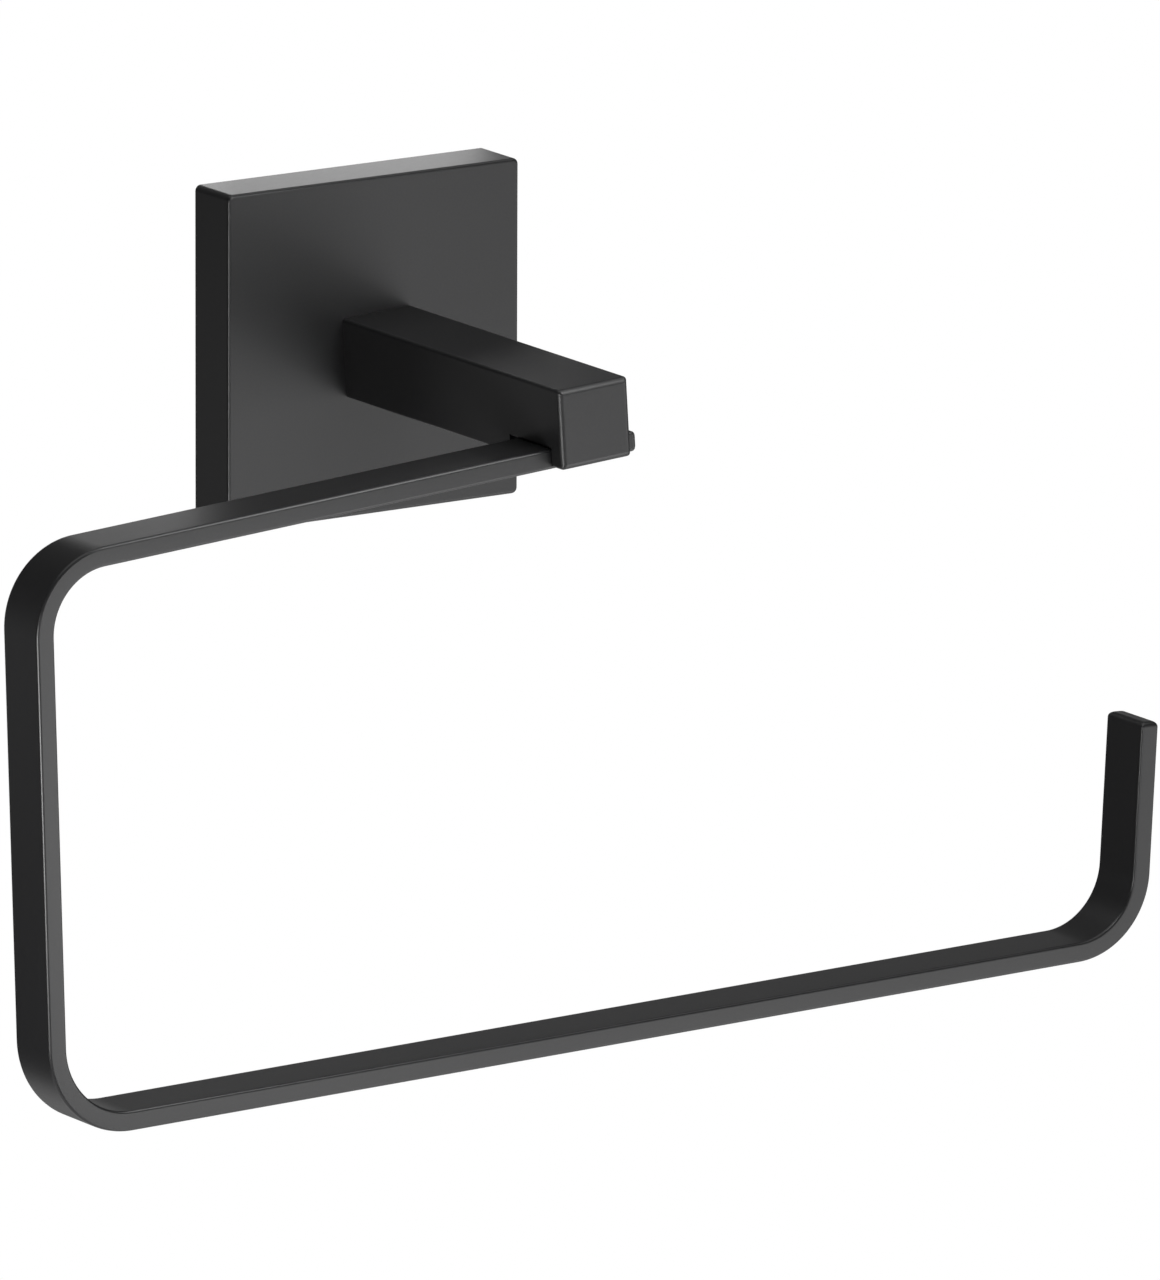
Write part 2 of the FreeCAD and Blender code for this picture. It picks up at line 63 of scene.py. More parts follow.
# Smooth copies of the CAD solids.
MERGE = 0.001 * MM              # points closer together than this are one point
SHARP_CORNER = 50               # degrees: a corner sharper than this stays a crisp edge
FLAT_FACES_FIRST = 100          # percent: how far flat faces decide the shading at their edges

# The bent bar and the hole for its screw.
END_STEPS = 5                   # points round the edge of each of the bar's ends
BEND_STEPS = 40                 # points in each of the bar's bends
EDGE_STEPS = 5                  # points round each of the bar's long edges
HOLE_STEPS = 48                 # sides of the round holes
HOLE_CUTTER = 3.0               # length of the hole's cutter, in bar thicknesses
COUNTERSINK_START = 0.5 * MM    # how far under the bar the countersink's cone starts

# The threads of the screws.
THREAD_STEPS = 32               # points in each turn of a thread
THREAD_DEPTH = 0.6              # depth of a thread's groove, in pitches
KNIFE_SIDES = 3                 # sides of the knife that cuts the groove
KNIFE_SIZE = 0.54               # from the knife's middle to its corners, in pitches
KNIFE_TURN = 180                # degrees: turns one of its corners towards the screw's axis
POST_AXIS_OVER_BAR = 4.8 * MM   # height of the post's axis over the middle of the bar

# The black coat where it is thin.
THIN_COAT = "thin_coat"         # attribute: how far the coat has drawn back, 0 to 1
PLATE_EDGE = 0.5 * MM           # rounding of the plate's front edges
MIDDLE_OF_EDGE = 0.5            # sine times cosine halfway round an edge, where it is largest
EDGE_GLOSS = 0.1                # how much smoother the thin coat is

WALL_SIDES = 32                 # sides of the stage's round wall


def linear(hex_colour):
    """The linear red, green and blue of an sRGB colour such as "#1a1a1b"."""
    channels = []
    for start in (1, 3, 5):
        value = int(hex_colour[start:start + 2], 16) / 255
        if value <= 0.04045:
            channels.append(value / 12.92)
        else:
            channels.append(((value + 0.055) / 1.055) ** 2.4)
    return tuple(channels)


def length(name, description, millimetres):
    """A length property, given in millimetres and kept in metres."""
    return FloatProperty(name=name, description=description, default=millimetres * MM,
                         min=0, unit="LENGTH", precision=4)


def angle(name, description, degrees):
    """An angle property, given in degrees and kept in radians."""
    return FloatProperty(name=name, description=description, default=math.radians(degrees),
                         subtype="ANGLE")


def colour(name, description, hex_colour):
    """A colour property, given as an sRGB colour and kept linear."""
    return FloatVectorProperty(name=name, description=description, default=linear(hex_colour),
                               subtype="COLOR", size=3, min=0, max=1)


def brightness(name, description, strength):
    """A brightness property, where white paper is 1."""
    return FloatProperty(name=name, description=description, default=strength, min=0)


class RingSizes(bpy.types.PropertyGroup):
    """Sizes of the bent bar, measured along its centreline from corner to corner."""
    bar_width: length("Bar width", "Depth of the flat bar, front to back", 9.3)
    bar_thickness: length("Bar thickness", "Thickness of the flat bar", 3.0)
    bar_edge: length("Bar edge radius", "Rounding of the bar's long edges", 0.45)
    end_edge: length("End edge radius", "Rounding round the bar's two ends", 0.8)
    stub: length("Stub", "From the middle of the post to the bar's short end", 8.95)
    reach_left: length("Left reach", "From the middle of the post to the left side", 92.85)
    drop: length("Drop", "Length of the left side", 83.6)
    span: length("Span", "Length of the bottom", 188.9)
    tip_rise: length("Tip rise", "Length of the open right side", 33.5)
    top_left: angle("Top left bend", "How far the bar turns there", 88.0)
    bottom_left: angle("Bottom left bend", "How far the bar turns there", 89.1)
    bottom_right: angle("Bottom right bend", "How far the bar turns there", 86.0)
    top_left_radius: length("Top left radius", "Centreline radius of that bend", 10.8)
    bottom_left_radius: length("Bottom left radius", "Centreline radius of that bend", 12.5)
    bottom_right_radius: length("Bottom right radius", "Centreline radius of that bend", 11.3)
    right: length("To the right", "The bar's screw, right of the plate's middle", 1.1181)
    forward: length("Forward", "The bar's middle, in front of the wall", 59.6)
    below: length("Below", "The bar's middle, under the plate's middle", 5.7394)
    roll: angle("Roll", "How far the post and the ring are turned", 3.8)
    countersink: length("Countersink", "Its diameter at the bar's underside", 5.8)
    screw_hole: length("Screw hole", "Diameter of the hole for the ring's screw", 3.4)


class ScrewSizes(bpy.types.PropertyGroup):
    """Threads of the three screws, each from where its groove starts to past its tip."""
    post_diameter: length("Post screw", "Thread of the screw that holds the post", 5.0)
    post_pitch: length("Post screw pitch", "Rise of that thread per turn", 0.8)
    post_start: length("Post screw start", "Start of that thread, from the wall", 5.9)
    post_length: length("Post screw length", "Length of that thread", 13.6)
    ring_diameter: length("Ring screw", "Thread of the screw that holds the ring", 3.0)
    ring_pitch: length("Ring screw pitch", "Rise of that thread per turn", 0.5)
    ring_start: length("Ring screw start", "Start of that thread, over the bar's middle", 0.4)
    ring_length: length("Ring screw length", "Length of that thread", 7.1)
    grub_diameter: length("Grub screw", "Thread of the grub screw", 4.0)
    grub_pitch: length("Grub screw pitch", "Rise of that thread per turn", 0.7)
    grub_from_wall: length("Grub screw from wall", "The grub screw, from the wall", 3.2)
    grub_start: length("Grub screw start", "Start of its thread, under the middle", 25.6)
    grub_length: length("Grub screw length", "Length of that thread", 4.2)


class Finishes(bpy.types.PropertyGroup):
    """Colours of the object's finishes."""
    coat: colour("Black coat", "Matte black powder coat", "#1b1b1c")
    black_oxide: colour("Black oxide", "Blackened screws", "#1b1a1c")
    zinc: colour("Zinc plate", "Zinc plated strip and screw", "#b4b7bb")
    spring_steel: colour("Spring steel", "Plain spring steel", "#8b8d91")


class Studio(bpy.types.PropertyGroup):
    """The stage round the object."""
    floor_drop: length("Floor drop", "The floor, under the wall plate's middle", 1200)
    floor_size: length("Floor size", "Width and depth of the floor", 40000)
    floor_colour: colour("Floor", "Pale floor", "#f4f4f4")
    world_light: brightness("World light", "Brightness of the soft light all round", 0.3)
    wall_distance: length("Wall distance", "Distance of the grey studio wall", 1600)
    wall_top: length("Wall top", "Height of the grey wall over the plate's middle", 2200)
    wall_light: brightness("Wall light", "Brightness of the grey wall", 0.08)


class TowelRing(bpy.types.PropertyGroup):
    """Everything about the towel ring that a user may change."""
    ring: PointerProperty(type=RingSizes)
    screws: PointerProperty(type=ScrewSizes)
    finishes: PointerProperty(type=Finishes)
    studio: PointerProperty(type=Studio)


def settings():
    """The sizes, finishes and stage that the user may change."""
    return bpy.context.scene.towel_ring


def add_node(tree, kind, inputs=None, **attributes):
    """Add one node with its attributes, and link or set each of the given inputs."""
    node = tree.nodes.new(kind)
    for name, value in attributes.items():
        setattr(node, name, value)
    for key, value in (inputs or {}).items():
        if isinstance(value, bpy.types.NodeSocket):
            tree.links.new(value, node.inputs[key])
        else:
            node.inputs[key].default_value = value
    return node


def new_material(name):
    """A material whose nodes are still to be added, and its tree."""
    material = bpy.data.materials.new(name)
    material.use_nodes = True
    material.node_tree.nodes.clear()
    return material, material.node_tree


def finish_material(tree, shader):
    """Link the shader to the material's output."""
    add_node(tree, "ShaderNodeOutputMaterial", {"Surface": shader.outputs[0]})


def mottle(tree, pattern, base, shades, roughness, spread):
    """Give back a colour and a roughness that both follow a pattern.

    Each of the two shades is a value of the pattern and the share of the base colour there.
    """
    shade = add_node(tree, "ShaderNodeValToRGB", {"Fac": pattern})
    for element, (value, share) in zip(shade.color_ramp.elements, shades):
        element.position = value
        element.color = (*[channel * share for channel in base], 1)
    rough = add_node(tree, "ShaderNodeMapRange", {
        "Value": pattern, "To Min": roughness - spread, "To Max": roughness + spread})
    return shade.outputs["Color"], rough.outputs["Result"]


def black_powder_coat():
    """Polyester powder coat, sprayed dry and baked on.

    It is satin: it gives a broad, soft shine on the edges, its grain is finer than a grain of
    salt, and where it flowed in the oven it keeps a faint, slow ripple. It draws back from
    edges as it melts, and that thin coat is smoother and catches the light as a fine line.
    """
    grain_size, ripple_size = 0.35 * MM, 6 * MM
    material, tree = new_material("black_powder_coat")
    place = add_node(tree, "ShaderNodeTexCoord").outputs["Object"]
    grain = add_node(tree, "ShaderNodeTexNoise", {
        "Vector": place, "Scale": 1 / grain_size, "Detail": 2.0}).outputs["Fac"]
    ripple = add_node(tree, "ShaderNodeTexNoise", {
        "Vector": place, "Scale": 1 / ripple_size, "Detail": 1.0}).outputs["Fac"]
    shade, rough = mottle(tree, grain, settings().finishes.coat,
                          shades=((0.35, 0.9), (0.65, 1.1)), roughness=0.4, spread=0.03)
    edges = add_node(tree, "ShaderNodeAttribute", attribute_name=THIN_COAT)
    rough = add_node(tree, SUM, {0: edges.outputs["Fac"], 1: -EDGE_GLOSS, 2: rough},
                     operation="MULTIPLY_ADD").outputs[0]
    fine = add_node(tree, "ShaderNodeBump", {
        "Height": grain, "Strength": 0.25, "Distance": 0.01 * MM}).outputs["Normal"]
    relief = add_node(tree, "ShaderNodeBump", {
        "Height": ripple, "Strength": 0.3, "Distance": 0.02 * MM,
        "Normal": fine}).outputs["Normal"]
    finish_material(tree, add_node(tree, "ShaderNodeBsdfPrincipled", {
        "Base Color": shade, "Roughness": rough, "Normal": relief, "IOR": 1.5}))
    return material


def plated_steel(name, base, roughness):
    """Steel with a thin plated or blackened skin.

    The skin is patchy on the scale of millimetres, which breaks up its shine, and carries fine
    rolling or turning marks that blur what it mirrors.
    """
    patch_size, mark_size = 3 * MM, 0.15 * MM
    material, tree = new_material(name)
    place = add_node(tree, "ShaderNodeTexCoord").outputs["Object"]
    patches = add_node(tree, "ShaderNodeTexNoise", {
        "Vector": place, "Scale": 1 / patch_size, "Detail": 3.0}).outputs["Fac"]
    marks = add_node(tree, "ShaderNodeTexNoise", {
        "Vector": place, "Scale": 1 / mark_size, "Detail": 2.0}).outputs["Fac"]
    shade, rough = mottle(tree, patches, base,
                          shades=((0.3, 0.8), (0.7, 1.0)), roughness=roughness, spread=0.06)
    relief = add_node(tree, "ShaderNodeBump", {
        "Height": marks, "Strength": 0.3, "Distance": 0.01 * MM}).outputs["Normal"]
    finish_material(tree, add_node(tree, "ShaderNodeBsdfPrincipled", {
        "Base Color": shade, "Roughness": rough, "Normal": relief, "Metallic": 1.0}))
    return material


def dress(piece, material):
    """Give a piece one material."""
    piece.data.materials.clear()
    piece.data.materials.append(material)


def settle(piece):
    """Turn a piece with its modifiers into a plain mesh."""
    bpy.context.view_layer.update()
    evaluated = piece.evaluated_get(bpy.context.evaluated_depsgraph_get())
    mesh = bpy.data.meshes.new_from_object(evaluated)
    piece.modifiers.clear()
    piece.data = mesh
    return piece


def shade_evenly(piece):
    """Shade rounded edges smoothly and keep flat faces flat and true corners sharp."""
    piece.data.shade_smooth()
    piece.data.set_sharp_from_angle(angle=math.radians(SHARP_CORNER))
    modifier = piece.modifiers.new("even_normals", "WEIGHTED_NORMAL")
    modifier.keep_sharp = True
    modifier.weight = FLAT_FACES_FIRST
    return settle(piece)


def smooth_copy(node, name):
    """A CAD node's copy with its triangles joined, so that rounded edges shade smoothly."""
    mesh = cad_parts[node].data.copy()
    mesh.name = name
    mesh.materials.clear()
    build = bmesh.new()
    build.from_mesh(mesh)
    bmesh.ops.remove_doubles(build, verts=build.verts, dist=MERGE)
    build.to_mesh(mesh)
    build.free()
    if "custom_normal" in mesh.attributes:
        mesh.attributes.remove(mesh.attributes["custom_normal"])
    piece = bpy.data.objects.new(name, mesh)
    bpy.context.scene.collection.objects.link(piece)
    return shade_evenly(piece)


def thin_front_edges(piece, node, radius):
    """Mark how far the coat has drawn back from the rounded front edges of a square block."""
    low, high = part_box(node)
    half, front = high[0], -low[1]
    values = []
    for vertex in piece.data.vertices:
        x, y, z = vertex.co
        past_side = max(max(abs(x), abs(z)) - half + radius, 0) / radius
        past_front = max(-y - front + radius, 0) / radius
        values.append(past_side * past_front / MIDDLE_OF_EDGE)
    piece.data.attributes.new(THIN_COAT, "FLOAT", "POINT").data.foreach_set("value", values)


def add_piece(piece, node):
    """Hand a finished piece to the frame in place of its CAD node."""
    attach(piece, "root")
    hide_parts(node)


class NodeShape:
    """A Geometry Nodes tree that is built one node at a time and then run on one object."""

    def __init__(self, name, inputs):
        self.tree = bpy.data.node_groups.new(name, "GeometryNodeTree")
        interface = self.tree.interface
        for side in ("OUTPUT", "INPUT"):
            interface.new_socket("Geometry", in_out=side, socket_type="NodeSocketGeometry")
        for label, kind in inputs.items():
            interface.new_socket(label, in_out="INPUT", socket_type=kind)
        self.inputs = self.tree.nodes.new("NodeGroupInput").outputs

    def add(self, kind, inputs=None, **attributes):
        """Add a node and give back its outputs."""
        return add_node(self.tree, kind, inputs, **attributes).outputs

    def finish(self, geometry):
        """Make the shape real, give it its material and send it out."""
        real = self.add("GeometryNodeRealizeInstances", {"Geometry": geometry})
        dressed = self.add("GeometryNodeSetMaterial",
                           {"Geometry": real[0], "Material": self.inputs["Material"]})
        self.add("NodeGroupOutput", {"Geometry": dressed[0]})

    def run(self, piece, values):
        """Run the tree on a piece with the given input values and keep its plain mesh."""
        modifier = piece.modifiers.new(self.tree.name, "NODES")
        modifier.node_group = self.tree
        for item in self.tree.interface.items_tree:
            if item.in_out == "INPUT" and item.name in values:
                modifier[item.identifier] = values[item.name]
        return settle(piece)


def end_points(end, towards, radius):
    """Points from the bar's end inwards, set close where the end's edge is rounded."""
    inwards = (towards - end).normalized()
    steps = [QUARTER_TURN * step / END_STEPS for step in range(END_STEPS + 1)]
    return [end + inwards * radius * (1 - math.cos(step)) for step in steps]


def bar_route(sizes):
    """The bar's centreline from its short end to its tip, as points and their bend radii."""
    corner = Vector((0, 0, 0))
    start = Vector((sizes.stub, 0, 0))
    heading = math.pi
    corners = []
    for stretch, turn in ((sizes.reach_left, sizes.top_left), (sizes.drop, sizes.bottom_left),
                          (sizes.span, sizes.bottom_right), (sizes.tip_rise, 0)):
        corner = corner + stretch * Vector((math.cos(heading), math.sin(heading), 0))
        corners.append(corner)
        heading += turn
    first = end_points(start, corners[0], sizes.end_edge)
    last = end_points(corners[-1], corners[-2], sizes.end_edge)
    points = first + corners[:-1] + last[::-1]
    bends = [sizes.top_left_radius, sizes.bottom_left_radius, sizes.bottom_right_radius]
    radii = [0.0] * len(first) + bends + [0.0] * len(last)
    return points, radii


def ring_tree():
    """Sweep a rounded section along the route, round both ends and cut the countersink."""
    size = "NodeSocketFloat"
    shape = NodeShape("bent_bar_ring", {
        "Bar width": size, "Bar thickness": size, "Bar edge": size, "End edge": size,
        "Countersink": size, "Screw hole": size, "Bend steps": "NodeSocketInt",
        "Edge steps": "NodeSocketInt", "Place": "NodeSocketVector",
        "Turn": "NodeSocketRotation", "Material": "NodeSocketMaterial"})
    given, links = shape.inputs, shape.tree.links

    # Route: the corner points become a curve and each corner gets its bend.
    line = shape.add("GeometryNodeMeshToCurve", {"Mesh": given["Geometry"]})
    bend = shape.add("GeometryNodeInputNamedAttribute", {"Name": "bend"}, data_type="FLOAT")
    route = shape.add("GeometryNodeFilletCurve", {
        "Curve": line[0], "Radius": bend["Attribute"], "Count": given["Bend steps"],
        "Limit Radius": False}, mode="POLY")
    route = shape.add("GeometryNodeSetCurveNormal", {"Curve": route[0]}, mode="Z_UP")
    total = shape.add("GeometryNodeCurveLength", {"Curve": route[0]})
    kept = shape.tree.nodes.new("GeometryNodeCaptureAttribute")
    kept.capture_items.new("FLOAT", "along")
    kept.capture_items.new("VECTOR", "side")
    links.new(route[0], kept.inputs["Geometry"])
    links.new(shape.add("GeometryNodeSplineParameter")["Length"], kept.inputs["along"])
    links.new(shape.add("GeometryNodeInputNormal")[0], kept.inputs["side"])

    # Section: a rectangle with rounded corners, thickness first.
    box = shape.add("GeometryNodeCurvePrimitiveQuadrilateral",
                    {"Width": given["Bar thickness"], "Height": given["Bar width"]})
    section = shape.add("GeometryNodeFilletCurve", {
        "Curve": box[0], "Radius": given["Bar edge"], "Count": given["Edge steps"],
        "Limit Radius": False}, mode="POLY")
    flat = shape.tree.nodes.new("GeometryNodeCaptureAttribute")
    flat.capture_items.new("VECTOR", "section")
    links.new(section[0], flat.inputs["Geometry"])
    links.new(shape.add("GeometryNodeInputPosition")[0], flat.inputs["section"])
    bar = shape.add("GeometryNodeCurveToMesh", {
        "Curve": kept.outputs["Geometry"], "Profile Curve": flat.outputs["Geometry"],
        "Fill Caps": True})
    bar = shape.add("GeometryNodeMergeByDistance", {"Geometry": bar[0], "Distance": MERGE})

    # Ends: within one end radius of either end the section shrinks along a quarter circle.
    radius = given["End edge"]
    along = kept.outputs["along"]
    rest = shape.add(SUM, {0: total[0], 1: along}, operation="SUBTRACT")
    near = shape.add(SUM, {0: along, 1: rest[0]}, operation="MINIMUM")
    near = shape.add(SUM, {0: near[0], 1: radius}, operation="MINIMUM")
    short = shape.add(SUM, {0: radius, 1: near[0]}, operation="SUBTRACT")
    whole_square = shape.add(SUM, {0: radius, 1: radius}, operation="MULTIPLY")
    short_square = shape.add(SUM, {0: short[0], 1: short[0]}, operation="MULTIPLY")
    square = shape.add(SUM, {0: whole_square[0], 1: short_square[0]}, operation="SUBTRACT")
    square = shape.add(SUM, {0: square[0], 1: 0.0}, operation="MAXIMUM")
    height = shape.add(SUM, {0: square[0]}, operation="SQRT")
    inset = shape.add(SUM, {0: radius, 1: height[0]}, operation="SUBTRACT")
    part = shape.add("ShaderNodeSeparateXYZ", {"Vector": flat.outputs["section"]})
    moves = {}
    for axis in ("X", "Y"):
        way = shape.add(SUM, {0: part[axis]}, operation="SIGN")
        moves[axis] = shape.add(SUM, {0: way[0], 1: inset[0]}, operation="MULTIPLY")[0]
    sideways = shape.add("ShaderNodeVectorMath", {
        0: kept.outputs["side"], "Scale": moves["X"]}, operation="SCALE")
    upwards = shape.add("ShaderNodeCombineXYZ", {"Z": moves["Y"]})
    inwards = shape.add("ShaderNodeVectorMath", {
        0: upwards[0], 1: sideways[0]}, operation="SUBTRACT")
    bar = shape.add("GeometryNodeSetPosition", {"Geometry": bar[0], "Offset": inwards[0]})

    # Long edges: the coat is thinnest along the middle of each rounded edge.
    edge = given["Bar edge"]
    over = []
    for axis, across in (("X", given["Bar thickness"]), ("Y", given["Bar width"])):
        half = shape.add(SUM, {0: across, 1: 0.5}, operation="MULTIPLY")
        flat_part = shape.add(SUM, {0: half[0], 1: edge}, operation="SUBTRACT")
        place = shape.add(SUM, {0: part[axis]}, operation="ABSOLUTE")
        past = shape.add(SUM, {0: place[0], 1: flat_part[0]}, operation="SUBTRACT")
        past = shape.add(SUM, {0: past[0], 1: 0.0}, operation="MAXIMUM")
        over.append(shape.add(SUM, {0: past[0], 1: edge}, operation="DIVIDE")[0])
    thin = shape.add(SUM, {0: over[0], 1: over[1]}, operation="MULTIPLY")
    thin = shape.add(SUM, {0: thin[0], 1: MIDDLE_OF_EDGE}, operation="DIVIDE")
    bar = shape.add("GeometryNodeStoreNamedAttribute", {
        "Geometry": bar[0], "Name": THIN_COAT, "Value": thin[0]},
        data_type="FLOAT", domain="POINT")

    # Countersink: a cone whose mouth is the bar's underside, and a hole through the bar.
    mouth = shape.add(SUM, {0: given["Countersink"], 1: 0.5}, operation="MULTIPLY")
    hole = shape.add(SUM, {0: given["Screw hole"], 1: 0.5}, operation="MULTIPLY")
    under = shape.add(SUM, {0: given["Bar thickness"], 1: -0.5}, operation="MULTIPLY")
    base = shape.add(SUM, {0: mouth[0], 1: COUNTERSINK_START}, operation="ADD")
    start = shape.add(SUM, {0: under[0], 1: COUNTERSINK_START}, operation="SUBTRACT")
    reach = shape.add(SUM, {0: given["Bar thickness"], 1: HOLE_CUTTER}, operation="MULTIPLY")
    cone = shape.add("GeometryNodeMeshCone", {
        "Vertices": HOLE_STEPS, "Radius Top": 0.0, "Radius Bottom": base[0], "Depth": base[0]})
    cone = shape.add("GeometryNodeTransform", {
        "Geometry": cone["Mesh"], "Rotation": (-QUARTER_TURN, 0, 0),
        "Translation": shape.add("ShaderNodeCombineXYZ", {"Y": start[0]})[0]})
    shank = shape.add("GeometryNodeMeshCylinder", {
        "Vertices": HOLE_STEPS, "Radius": hole[0], "Depth": reach[0]})
    shank = shape.add("GeometryNodeTransform", {
        "Geometry": shank["Mesh"], "Rotation": (-QUARTER_TURN, 0, 0)})
    cut = add_node(shape.tree, "GeometryNodeMeshBoolean", {
        "Mesh 1": bar[0], "Mesh 2": cone[0]}, operation="DIFFERENCE", solver="EXACT")
    links.new(shank[0], cut.inputs["Mesh 2"])

    # Place: the route's plane is stood up, turned with the post and set in front of the wall.
    placed = shape.add("GeometryNodeTransform", {
        "Geometry": cut.outputs[0], "Translation": given["Place"], "Rotation": given["Turn"]})
    shape.finish(placed[0])
    return shape


def thread_tree():
    """Cut a screw's thread: a three-sided groove that winds round the shank."""
    size = "NodeSocketFloat"
    shape = NodeShape("screw_thread", {
        "Diameter": size, "Pitch": size, "Length": size, "Place": "NodeSocketVector",
        "Turn": "NodeSocketRotation", "Material": "NodeSocketMaterial"})
    given = shape.inputs
    knife = shape.add(SUM, {0: given["Pitch"], 1: KNIFE_SIZE}, operation="MULTIPLY")
    depth = shape.add(SUM, {0: given["Pitch"], 1: THREAD_DEPTH}, operation="MULTIPLY")
    crest = shape.add(SUM, {0: given["Diameter"], 1: 0.5}, operation="MULTIPLY")
    root = shape.add(SUM, {0: crest[0], 1: depth[0]}, operation="SUBTRACT")
    middle = shape.add(SUM, {0: root[0], 1: knife[0]}, operation="ADD")
    turns = shape.add(SUM, {0: given["Length"], 1: given["Pitch"]}, operation="DIVIDE")
    coil = shape.add("GeometryNodeCurveSpiral", {
        "Resolution": THREAD_STEPS, "Rotations": turns[0], "Start Radius": middle[0],
        "End Radius": middle[0], "Height": given["Length"]})
    coil = shape.add("GeometryNodeSetCurveNormal", {"Curve": coil[0]}, mode="Z_UP")
    tooth = shape.add("GeometryNodeCurvePrimitiveCircle", {
        "Resolution": KNIFE_SIDES, "Radius": knife[0]}, mode="RADIUS")
    tooth = shape.add("GeometryNodeTransform", {
        "Geometry": tooth["Curve"], "Rotation": (0, 0, math.radians(KNIFE_TURN))})
    groove = shape.add("GeometryNodeCurveToMesh", {
        "Curve": coil[0], "Profile Curve": tooth[0], "Fill Caps": True})
    groove = shape.add("GeometryNodeTransform", {
        "Geometry": groove[0], "Translation": given["Place"], "Rotation": given["Turn"]})
    cut = shape.add("GeometryNodeMeshBoolean", {
        "Mesh 1": given["Geometry"], "Mesh 2": groove[0]},
        operation="DIFFERENCE", solver="EXACT")
    shape.finish(cut[0])
    return shape


class TOWELRING_OT_plate(bpy.types.Operator):
    """Smooth and coat the wall plate and the post"""
    bl_idname = "towelring.plate"
    bl_label = "Plate and post"

    def execute(self, context):
        coat = black_powder_coat()
        for node, name in (("wall_plate", "plate_cover"), ("post", "square_post")):
            piece = smooth_copy(node, name)
            if node == "wall_plate":
                thin_front_edges(piece, node, PLATE_EDGE)
            dress(piece, coat)
            add_piece(piece, node)
        return {"FINISHED"}


class TOWELRING_OT_ring(bpy.types.Operator):
    """Bend the flat bar into the open ring"""
    bl_idname = "towelring.ring"
    bl_label = "Ring"

    def execute(self, context):
        sizes = settings().ring
        points, radii = bar_route(sizes)
        mesh = bpy.data.meshes.new("ring_bar")
        mesh.from_pydata(points, [(n, n + 1) for n in range(len(points) - 1)], [])
        mesh.attributes.new("bend", "FLOAT", "POINT").data.foreach_set("value", radii)
        piece = bpy.data.objects.new("ring_bar", mesh)
        context.scene.collection.objects.link(piece)
        ring_tree().run(piece, {
            "Bar width": sizes.bar_width, "Bar thickness": sizes.bar_thickness,
            "Bar edge": sizes.bar_edge, "End edge": sizes.end_edge,
            "Countersink": sizes.countersink, "Screw hole": sizes.screw_hole,
            "Bend steps": BEND_STEPS, "Edge steps": EDGE_STEPS,
            "Place": (sizes.right, -sizes.forward, -sizes.below),
            "Turn": (QUARTER_TURN, -sizes.roll, 0),
            "Material": black_powder_coat()})
        shade_evenly(piece)
        add_piece(piece, "ring")
        return {"FINISHED"}


class TOWELRING_OT_screws(bpy.types.Operator):
    """Cut the threads of the three screws and plate or blacken them"""
    bl_idname = "towelring.screws"
    bl_label = "Screws"

    def execute(self, context):
        sizes, ring, finishes = settings().screws, settings().ring, settings().finishes
        zinc = plated_steel("zinc_plated_screw", finishes.zinc, roughness=0.32)
        oxide = plated_steel("black_oxide_screw", finishes.black_oxide, roughness=0.42)
        roll = Matrix.Rotation(-ring.roll, 3, "Y")
        bar = Vector((ring.right, -ring.forward, -ring.below))
        post_axis = bar + roll @ Vector((0, 0, POST_AXIS_OVER_BAR))
        thread = thread_tree()
        for node, slot, material, diameter, pitch, long, place, turn in (
            ("post_screw", "plated_screw", zinc,
             sizes.post_diameter, sizes.post_pitch, sizes.post_length,
             (post_axis.x, -sizes.post_start, post_axis.z), (QUARTER_TURN, 0, 0)),
            ("ring_screw", "black_screw", oxide,
             sizes.ring_diameter, sizes.ring_pitch, sizes.ring_length,
             bar + roll @ Vector((0, 0, sizes.ring_start)), (0, -ring.roll, 0)),
            ("grub_screw", "black_screw", oxide,
             sizes.grub_diameter, sizes.grub_pitch, sizes.grub_length,
             (0, -sizes.grub_from_wall, -sizes.grub_start), (0, 0, 0)),
        ):
            piece = smooth_copy(node, "threaded_" + node)
            thread.run(piece, {"Diameter": diameter, "Pitch": pitch, "Length": long,
                               "Place": tuple(place), "Turn": turn, "Material": material})
            shade_evenly(piece)
            add_piece(piece, node)
        return {"FINISHED"}


class TOWELRING_OT_fixings(bpy.types.Operator):
    """Finish the folded wall bracket and the spring washer"""
    bl_idname = "towelring.fixings"
    bl_label = "Bracket and washer"

    def execute(self, context):
        finishes = settings().finishes
        strip = plated_steel("zinc_plated_strip", finishes.zinc, roughness=0.38)
        spring = plated_steel("plain_spring_steel", finishes.spring_steel, roughness=0.3)
        for node, name, slot, material in (
            ("wall_bracket", "folded_bracket", "bracket_steel", strip),
            ("lock_washer", "spring_washer", "spring_steel", spring),
        ):
            piece = smooth_copy(node, name)
            dress(piece, material)
            add_piece(piece, node)
        return {"FINISHED"}


# Degrees and millimetres; the target is the point in the middle of the picture.
CAMERA = {"yaw": 33.35, "pitch": 13.21, "roll": 0.21, "distance": 3026.35,
          "target": (42.51, 0, -51.74), "sensor": 36, "lens": 569.43}

